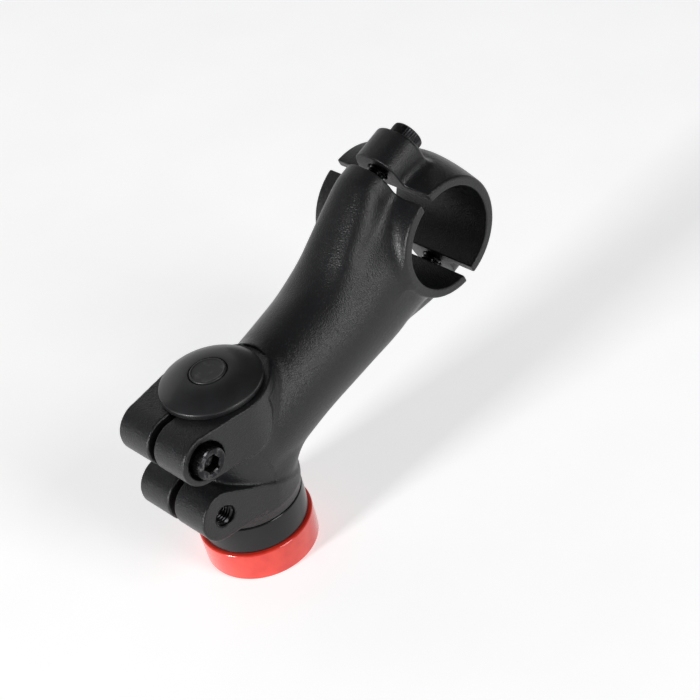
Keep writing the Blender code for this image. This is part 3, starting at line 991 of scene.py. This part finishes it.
@dataclass(frozen=True)
class CapScrew:
    """Socket head cap screw with a knurled head, a hex socket and a rolled thread.

    Attributes:
        node: The frame's node that it stands for.
        body: The body that it moves with.
        axis: Height 0 is under the head, and the head is above.
        length: Length under the head.
    """

    node: str
    body: str
    axis: Axis
    length: float
    head: float = 5.0
    head_height: float = 6.0
    thread: float = 3.0
    pitch: float = 1.0
    depth: float = 0.55
    key: float = 5.0
    socket: float = 3.2
    knurl: float = 0.22
    teeth: int = 40
    per_tooth: int = 4
    per_pitch: int = 8

    def rows(self) -> tuple[Grid, Grid, Grid]:
        """Profile from the socket's floor to the tip.

        Returns:
            Radius, height, and the kind of each row: 0 plain, 1 socket wall, 2 knurl, 3 thread.
        """
        top, floor = self.head_height, self.head_height - self.socket
        flat, rim = self.key / 2, self.head
        corner = flat / math.cos(math.pi / 6)
        head = [
            (0.05, floor - 0.7, 0),
            (flat - 0.5, floor - 0.15, 0),
            (flat, floor, 1),
            (flat, top - 0.45, 1),
            (corner + 0.25, top - 0.04, 0),
            (rim - 0.85, top, 0),
            (rim - 0.45, top - 0.08, 0),
            (rim - 0.12, top - 0.4, 0),
            (rim, top - 0.85, 2),
            (rim, 0.75, 2),
            (rim - 0.05, 0.45, 0),
            (rim - 0.3, 0.0, 0),
            (self.thread + 0.3, 0.0, 0),
            (self.thread, -0.35, 0),
            (self.thread, -0.9, 0),
        ]
        count = int((self.length - 2.0) / self.pitch * self.per_pitch)
        thread = [(self.thread, row, 3) for row in np.linspace(-1.0, 0.8 - self.length, count)]
        tip = [
            (self.thread - 0.45, 0.6 - self.length, 0),
            (self.thread - 0.9, -self.length, 0),
            (0.05, -self.length, 0),
        ]
        radius, height, kind = np.array(head + thread + tip).T
        return radius, height, kind

    def mesh(self, name: str) -> bpy.types.Mesh:
        """Build the screw.

        A socket row follows a hexagon, r = (key / 2) / cos(angle from the flat's middle). A knurl
        row dips between teeth, and a thread row dips by depth * wave.
        """
        radius, height, kind = self.rows()
        columns = self.teeth * self.per_tooth
        angle = angles(columns)
        radius = np.repeat(radius[:, None], columns, axis=1)
        height = np.repeat(height[:, None], columns, axis=1)
        kind = kind[:, None]
        sixth = math.pi / 3
        flat = np.mod(angle, sixth) - sixth / 2
        radius = np.where(kind == 1, radius / np.cos(flat), radius)
        tooth = np.abs(np.mod(angle * self.teeth / (2 * math.pi), 1.0) * 2 - 1)
        radius = np.where(kind == 2, radius - self.knurl * (1 - tooth), radius)
        ridge = thread_wave(height, angle, self.pitch)
        ends = smooth_step(-height, 1.0, 2.0) * smooth_step(self.length + height, 0.7, 1.6)
        radius = np.where(kind == 3, radius - self.depth * ridge * ends, radius)
        return turned_mesh(name, self.axis, radius[::-1], height[::-1], closed=False)

    def build(self) -> None:
        """Make the screw."""
        add_piece(self.mesh(self.node + "_screw"), Slot.BLACK_OXIDE, self.body, self.node)


@dataclass(frozen=True)
class Washer:
    """Flat washer with broken edges, on the seat under a screw's head."""

    node: str
    body: str
    axis: Axis
    thickness: float = 0.72
    outer: float = 5.6
    inner: float = 3.25

    def build(self) -> None:
        """Carry a rectangle with rounded corners round the axis."""
        corners = [
            (self.outer, 0.04, 0.15),
            (self.outer, self.thickness, 0.2),
            (self.inner, self.thickness, 0.15),
            (self.inner, 0.04, 0.1),
        ]
        profile = rounded(corners, 4, closed=True)
        mesh = ring_mesh(self.node + "_ring", self.axis, profile, 96, closed=True)
        add_piece(mesh, Slot.BLACK_OXIDE, self.body, self.node)


@dataclass(frozen=True)
class ThreadLiner:
    """The cut thread inside the plain side of a pinch lug."""

    name: str
    axis: Axis
    length: float
    outer: float = 3.38
    wall: float = 0.12
    crest: float = 2.62
    pitch: float = 1.0

    def build(self) -> None:
        """Carry a thin sleeve round the axis; its inside dips by a wave along the helix."""
        columns, per_pitch = 96, 10
        count = int(self.length / self.pitch * per_pitch)
        height = np.linspace(0.0, self.length, count)[:, None]
        wave = thread_wave(height, angles(columns), self.pitch)
        lead = smooth_step(self.length - height, 0.0, 1.1)
        root = self.outer - self.wall
        inside = root - (root - self.crest) * wave * lead
        outside = np.full_like(inside, self.outer)
        mesh = sleeve_mesh(self.name, self.axis, inside, outside, height)
        add_piece(mesh, Slot.BLACK_OXIDE, "stem")


@dataclass(frozen=True)
class SpacerRing:
    """One headset spacer with eased edges and a chamfered bore."""

    node: str
    body: str
    slot: Slot
    bore: float = 14.3
    ease: float = 0.75
    seam: float = 0.06

    def build(self) -> None:
        """Carry the ring's section round the steerer's axis."""
        low, high = node_box(self.node)
        outer = (high[0] - low[0]) / 2
        height = high[2] - low[2] + 0.25 - self.seam
        corners = [
            (outer, 0.0, self.ease),
            (outer, height, self.ease),
            (self.bore, height, 0.4),
            (self.bore, 0.0, 0.4),
        ]
        axis = Axis(low[2] * UP, UP)
        mesh = ring_mesh(self.node + "_ring", axis, rounded(corners, 8, closed=True), 192, closed=True)
        add_piece(mesh, self.slot, self.body, self.node)


@dataclass(frozen=True)
class TopCap:
    """Domed cap with its centring boss, the well for the screw and the plug that closes it."""

    top_face: float
    well: float = 5.6
    hole: float = 3.35
    boss: float = 12.0
    rim_height: float = 2.0
    crown: float = 2.9
    plug: float = 5.48

    def build(self) -> None:
        """Make the cap and its plug."""
        low, high = node_box("top_cap")
        outer = (high[0] - low[0]) / 2
        bottom = float(low[2])
        floor = bottom + 2.0
        rim = self.top_face + self.rim_height
        share = np.linspace(1.0, 0.0, 28)
        dome_radius = self.well + 0.35 + (outer - 0.35 - self.well - 0.35) * share
        dome_height = rim + self.crown * (1.0 - share**2.2)
        dome = [(float(r), float(h), 0.0) for r, h in zip(dome_radius, dome_height)]
        crest = rim + self.crown
        corners = [
            (self.hole, bottom, 0.2),
            (self.boss - 0.5, bottom, 0.5),
            (self.boss, self.top_face + 0.06, 0.2),
            (outer - 0.05, self.top_face + 0.06, 0.3),
            (outer, rim - 0.3, 0.4),
            *dome,
            (self.well, crest - 0.3, 0.1),
            (self.well, floor, 0.2),
            (self.hole, floor, 0.1),
        ]
        axis = Axis(np.zeros(3), UP)
        profile = rounded(corners, 6, closed=True)
        mesh = ring_mesh("domed_cap", axis, profile, 192, closed=True)
        add_piece(mesh, Slot.GLOSS_BLACK, "cap_group", "top_cap")
        self.build_plug(axis)

    def build_plug(self, axis: Axis) -> None:
        """Turn the plug: a shallow dish inside a thin raised rim."""
        low, high = node_box("top_cap_plug")
        top, bottom = float(high[2]), float(low[2])
        corners = [
            (0.05, bottom, 0.0),
            (self.plug - 0.3, bottom, 0.3),
            (self.plug, bottom + 0.5, 0.3),
            (self.plug, top - 0.3, 0.25),
            (self.plug - 0.35, top, 0.25),
            (self.plug - 0.65, top - 0.02, 0.15),
            (self.plug - 0.85, top - 0.16, 0.15),
            (self.plug - 2.5, top - 0.18, 0.5),
            (0.05, top - 0.2, 0.0),
        ]
        mesh = ring_mesh("cap_plug", axis, rounded(corners, 6), 128, closed=False)
        add_piece(mesh, Slot.PLUG_GREY, "plug_group", "top_cap_plug")


@dataclass(frozen=True)
class StarNut:
    """Threaded hub and two sprung leaves whose bent fingers bite inside the steerer."""

    hub: float = 5.2
    root: float = 3.3
    crest: float = 2.7
    pitch: float = 1.0
    reach: float = 12.6
    notch: float = 8.4
    fingers: int = 8
    bend: float = 0.9
    thickness: float = 0.8

    def build(self) -> None:
        """Make the hub and both leaves."""
        self.build_hub()
        for name in ("upper", "lower"):
            self.build_leaf(f"star_nut_{name}_leaf")

    def build_hub(self) -> None:
        """Turn the hub; its inside dips by a wave along the helix."""
        low, high = node_box("star_nut_hub")
        columns = 96
        height = np.linspace(low[2], high[2], 130)[:, None]
        wave = thread_wave(height, angles(columns), self.pitch)
        inside = self.root - (self.root - self.crest) * wave
        outside = np.full_like(inside, self.hub)
        outside[0] -= 0.3
        outside[-1] -= 0.3
        mesh = sleeve_mesh("star_hub", Axis(np.zeros(3), UP), inside, outside, height)
        add_piece(mesh, Slot.ZINC_STEEL, "stem", "star_nut_hub")

    def build_leaf(self, node: str) -> None:
        """Carry a bent strip round the axis; its reach swings between finger tips and notches."""
        _, high = node_box(node)
        columns, rows = 384, 14
        swing = 0.5 + 0.5 * np.cos(angles(columns) * self.fingers)
        edge = self.notch + (self.reach - self.notch) * smooth_step(swing, 0.12, 0.42)
        share = np.linspace(0.0, 1.0, rows)[:, None]
        start = self.hub + 0.05
        radius = start + (edge - start) * share
        drop = self.bend * smooth_step(radius, self.notch - 1.0, self.reach)
        top = high[2] - drop
        radius = np.concatenate([radius, radius[::-1]])
        height = np.concatenate([top - self.thickness, top[::-1]])
        axis = Axis(np.zeros(3), UP)
        mesh = turned_mesh(node.replace("star_nut", "star"), axis, radius, height, closed=True)
        add_piece(mesh, Slot.ZINC_STEEL, "stem", node)


@dataclass(frozen=True)
class Fastening:
    """All screws, washers and cut threads of the stem."""

    layout: Layout
    clamp: BarClamp
    body: StemBody
    under_head: float = 0.93
    short: float = 20.0
    preload: float = 30.0

    def build(self) -> None:
        """Make every fastener."""
        layout = self.layout
        for name, side in (("upper", 1.0), ("lower", -1.0)):
            seat = layout.bar + self.clamp.seat * layout.forward
            seat = seat + side * layout.bolt_offset * layout.rise
            self.screw_on_washer("faceplate", name, seat, layout.forward, "faceplate_group")
            height, direction = layout.pinch[name]
            outward = np.array([direction, 0.0, 0.0])
            seat = np.array([direction * self.body.pinch_seat, layout.pinch_y, height])
            group = f"pinch_washer_{name}_group"
            self.screw_on_washer("pinch", name, seat, outward, group)
            start = np.array([-direction * self.body.slit / 2, layout.pinch_y, height])
            liner = self.body.lug_half - self.body.slit / 2 - 0.25
            ThreadLiner(f"pinch_thread_{name}", Axis(start, -outward), liner).build()
        low, _ = node_box("top_cap")
        axis = Axis((low[2] + 2.0 + 0.06) * UP, UP)
        CapScrew("preload_bolt", "preload_screw", axis, self.preload).build()

    def screw_on_washer(self, place: str, name: str, seat: Grid, outward: Grid, group: str) -> None:
        """Set a screw on its washer.

        Args:
            place: Which clamp it closes.
            name: Upper or lower.
            seat: Middle of the seat.
            outward: Direction of the screw's head.
            group: Body that the washer moves with.
        """
        head = Axis(seat + self.under_head * outward, outward)
        screw = f"{place}_screw_{name}"
        CapScrew(f"{place}_bolt_{name}", screw, head, self.short).build()
        Washer(f"{place}_washer_{name}", group, Axis(seat, outward)).build()


# ---------------------------------------------------------------- studio


@dataclass(frozen=True)
class Lamp:
    """A soft area light.

    Attributes:
        name: Its name.
        place: Where it hangs, in millimetres.
        size: Width and height.
        power: Watts.
        target: What it points at.
    """

    name: str
    place: tuple[float, float, float]
    size: tuple[float, float]
    power: float
    target: tuple[float, float, float] = (0, -40, 40)

    def build(self) -> None:
        """Hang the light."""
        data = bpy.data.lights.new(self.name, "AREA")
        data.shape = "RECTANGLE"
        data.size, data.size_y = self.size[0] * MM, self.size[1] * MM
        data.energy = self.power
        lamp = show(self.name, data)
        place, target = Vector(self.place) * MM, Vector(self.target) * MM
        aim = (target - place).to_track_quat("-Z", "Y").to_matrix().to_4x4()
        lamp.matrix_world = Matrix.Translation(place) @ aim


@dataclass(frozen=True)
class Studio:
    """Ground, lights and the point of view."""

    azimuth: float = 234.2
    elevation: float = 38.6
    roll: float = -14.8
    distance: float = 535.0
    target: tuple[float, float, float] = (-7.0, -44.5, 45.3)
    lens: float = 92.57
    sky: float = 0.11

    def build(self) -> None:
        """Make the studio."""
        self.ground()
        self.world()
        self.camera()
        lamps = (
            Lamp("window_right", (-1760, -240, 900), (700, 1500), 19.0),
            Lamp("window_left", (1860, -400, 700), (2200, 1400), 7.0),
            Lamp("window_rear", (160, 1880, 560), (360, 620), 34.0),
        )
        for lamp in lamps:
            lamp.build()
        bpy.context.scene.view_settings.view_transform = "Standard"

    def ground(self) -> None:
        """Lay a wide pale ground under the stem."""
        half = 3000.0
        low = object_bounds()[0].z / MM - 0.4
        square = ((-half, -half), (half, -half), (half, half), (-half, half))
        corners = np.array([(x, y, low) for x, y in square])
        mesh = build_mesh("ground", corners, np.array([[0, 1, 2, 3]]))
        ground = show("ground", mesh)
        ground.data.materials.append(Paper().material())
        ground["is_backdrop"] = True

    def world(self) -> None:
        """Fill the surroundings with pale light."""
        world = bpy.data.worlds.new("pale_room")
        world.use_nodes = True
        back = world.node_tree.nodes["Background"]
        back.inputs["Color"].default_value = (1.0, 1.0, 1.0, 1.0)
        back.inputs["Strength"].default_value = self.sky
        bpy.context.scene.world = world

    def camera(self) -> None:
        """Stand the camera at its azimuth, elevation and roll round the target."""
        turn, tilt, roll = (math.radians(v) for v in (self.azimuth, self.elevation, self.roll))
        back = Vector(
            (math.sin(turn) * math.cos(tilt), -math.cos(turn) * math.cos(tilt), math.sin(tilt))
        )
        right = (-back).cross(Vector((0, 0, 1))).normalized()
        up = right.cross(-back)
        right, up = (
            right * math.cos(roll) + up * math.sin(roll),
            up * math.cos(roll) - right * math.sin(roll),
        )
        data = bpy.data.cameras.new("view")
        data.lens = self.lens
        data.sensor_width = 36.0
        data.clip_start = 0.01
        camera = show("view", data)
        place = (Vector(self.target) + back * self.distance) * MM
        facing = Matrix((right, up, back)).transposed().to_4x4()
        camera.matrix_world = Matrix.Translation(place) @ facing
        bpy.context.scene.camera = camera


def plain(bounds: tuple[Vector, Vector]) -> list[list[float]]:
    """Bounds as plain lists."""
    return [[float(part) for part in corner] for corner in bounds]


def main() -> dict[str, list[list[float]]]:
    """Build the finished stem in order.

    Returns:
        The bounds of the frame and of the finished pieces.
    """
    logging.basicConfig(level=logging.INFO, format="%(name)s %(message)s")
    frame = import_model()
    sizes = {"frame": plain(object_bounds())}
    clamp = BarClamp()
    layout = Layout.from_frame(frame, clamp.hinge_point)
    body = StemBody(layout, clamp)
    body.build()
    Faceplate(layout, clamp).build()
    Fastening(layout, clamp, body).build()
    SpacerRing("spacer_red", "red_ring", Slot.GLOSS_RED).build()
    SpacerRing("spacer_black", "black_ring", Slot.ANODISED_BLACK).build()
    TopCap(body.top).build()
    StarNut().build()
    Studio().build()
    sizes["scene"] = plain(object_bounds())
    return sizes


if __name__ == "__main__":
    measured = main()
